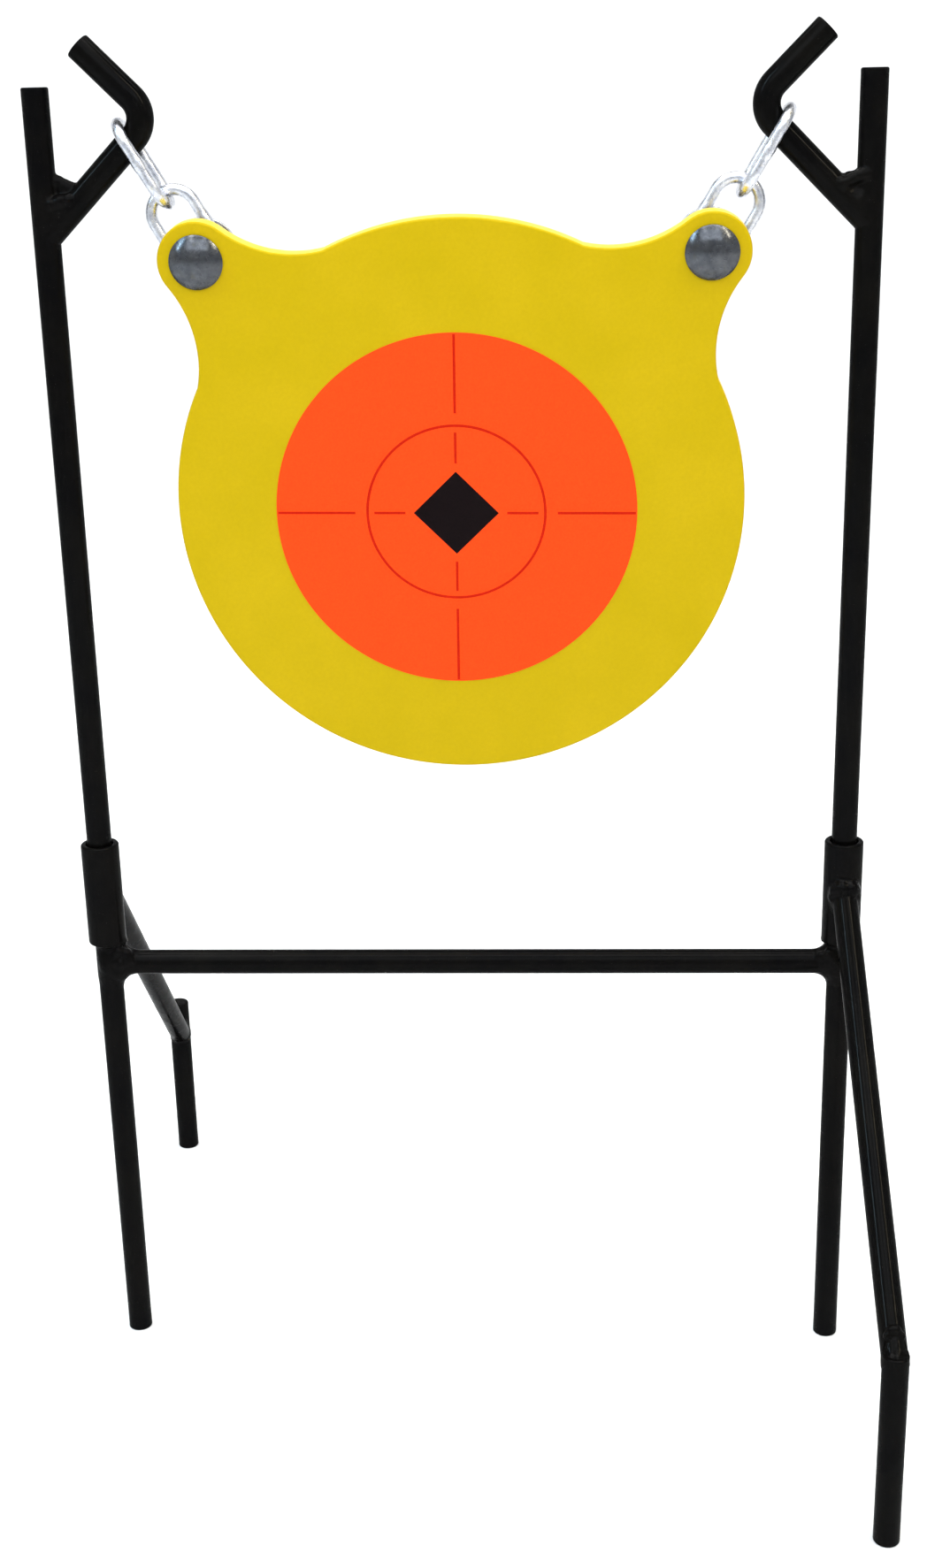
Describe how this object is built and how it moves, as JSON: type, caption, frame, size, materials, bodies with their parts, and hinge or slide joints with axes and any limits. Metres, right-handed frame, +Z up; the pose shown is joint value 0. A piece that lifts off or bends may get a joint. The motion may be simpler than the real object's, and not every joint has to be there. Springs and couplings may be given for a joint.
{
  "type": "hanging steel gong target on a stake stand",
  "caption": "Round steel plate with ears, hung by short chains and bolts from hooked uprights that plug into a welded push-in stake base.",
  "frame": {"origin": "on the ground at the middle of the footprint of the four feet", "axes": "+Z up, +X along the crossbar, the plate's printed face looks towards -Y"},
  "size_m": [0.361, 0.3412, 0.5968],
  "materials": {
    "black_coat": "semi-gloss black powder coat",
    "zinc_chain": "bright zinc plated welded chain",
    "zinc_fastener": "bright zinc plated fasteners",
    "yellow_coat": "satin yellow paint on steel plate",
    "target_paper": "fluorescent orange printed self-adhesive paper"
  },
  "bodies": {
    "base": {"crossbar": "black_coat", "left_leg": "black_coat", "right_leg": "black_coat", "left_socket": "black_coat", "right_socket": "black_coat", "rear_brace": "black_coat", "front_brace": "black_coat", "rear_stake": "black_coat", "front_stake": "black_coat"},
    "left_post": {"left_upright": "black_coat", "left_hook_arm": "black_coat"},
    "right_post": {"right_upright": "black_coat", "right_hook_arm": "black_coat"},
    "left_upper": {"left_upper_link": "zinc_chain"},
    "left_lower": {"left_lower_link": "zinc_chain"},
    "right_upper": {"right_upper_link": "zinc_chain"},
    "right_lower": {"right_lower_link": "zinc_chain"},
    "gong": {"gong_plate": "yellow_coat", "target_sticker": "target_paper", "left_carriage_bolt": "zinc_fastener", "right_carriage_bolt": "zinc_fastener", "left_washer": "zinc_fastener", "right_washer": "zinc_fastener", "left_nut": "zinc_fastener", "right_nut": "zinc_fastener"}
  },
  "joints": [
    {"name": "left_post_lift", "type": "slide", "parent": "base", "child": "left_post", "axis": [0, 0, 1], "range_m": [0, 0.06]},
    {"name": "right_post_lift", "type": "slide", "parent": "base", "child": "right_post", "axis": [0, 0, 1], "range_m": [0, 0.06]},
    {"name": "left_hook_swing", "type": "hinge", "parent": "left_post", "child": "left_upper", "pos_m": [-0.13002, -0.015, 0.55546], "axis": [1, 0, 0], "range_deg": [-25, 25]},
    {"name": "left_link_swing", "type": "hinge", "parent": "left_upper", "child": "left_lower", "pos_m": [-0.12068, -0.015, 0.53948], "axis": [1, 0, 0], "range_deg": [-20, 20]},
    {"name": "gong_swing", "type": "hinge", "parent": "left_lower", "child": "gong", "pos_m": [-0.10373, -0.015, 0.5105], "axis": [1, 0, 0], "range_deg": [-10, 5]},
    {"name": "right_hook_swing", "type": "hinge", "parent": "right_post", "child": "right_upper", "pos_m": [0.13002, -0.015, 0.55546], "axis": [1, 0, 0], "range_deg": [-25, 25]},
    {"name": "right_link_swing", "type": "hinge", "parent": "right_upper", "child": "right_lower", "pos_m": [0.12068, -0.015, 0.53948], "axis": [1, 0, 0], "range_deg": [-20, 20]}
  ],
  "couplings": [
    {"joint": "right_post_lift", "follows": "left_post_lift", "ratio": 1},
    {"joint": "right_hook_swing", "follows": "left_hook_swing", "ratio": 1},
    {"joint": "right_link_swing", "follows": "left_link_swing", "ratio": 1}
  ]
}
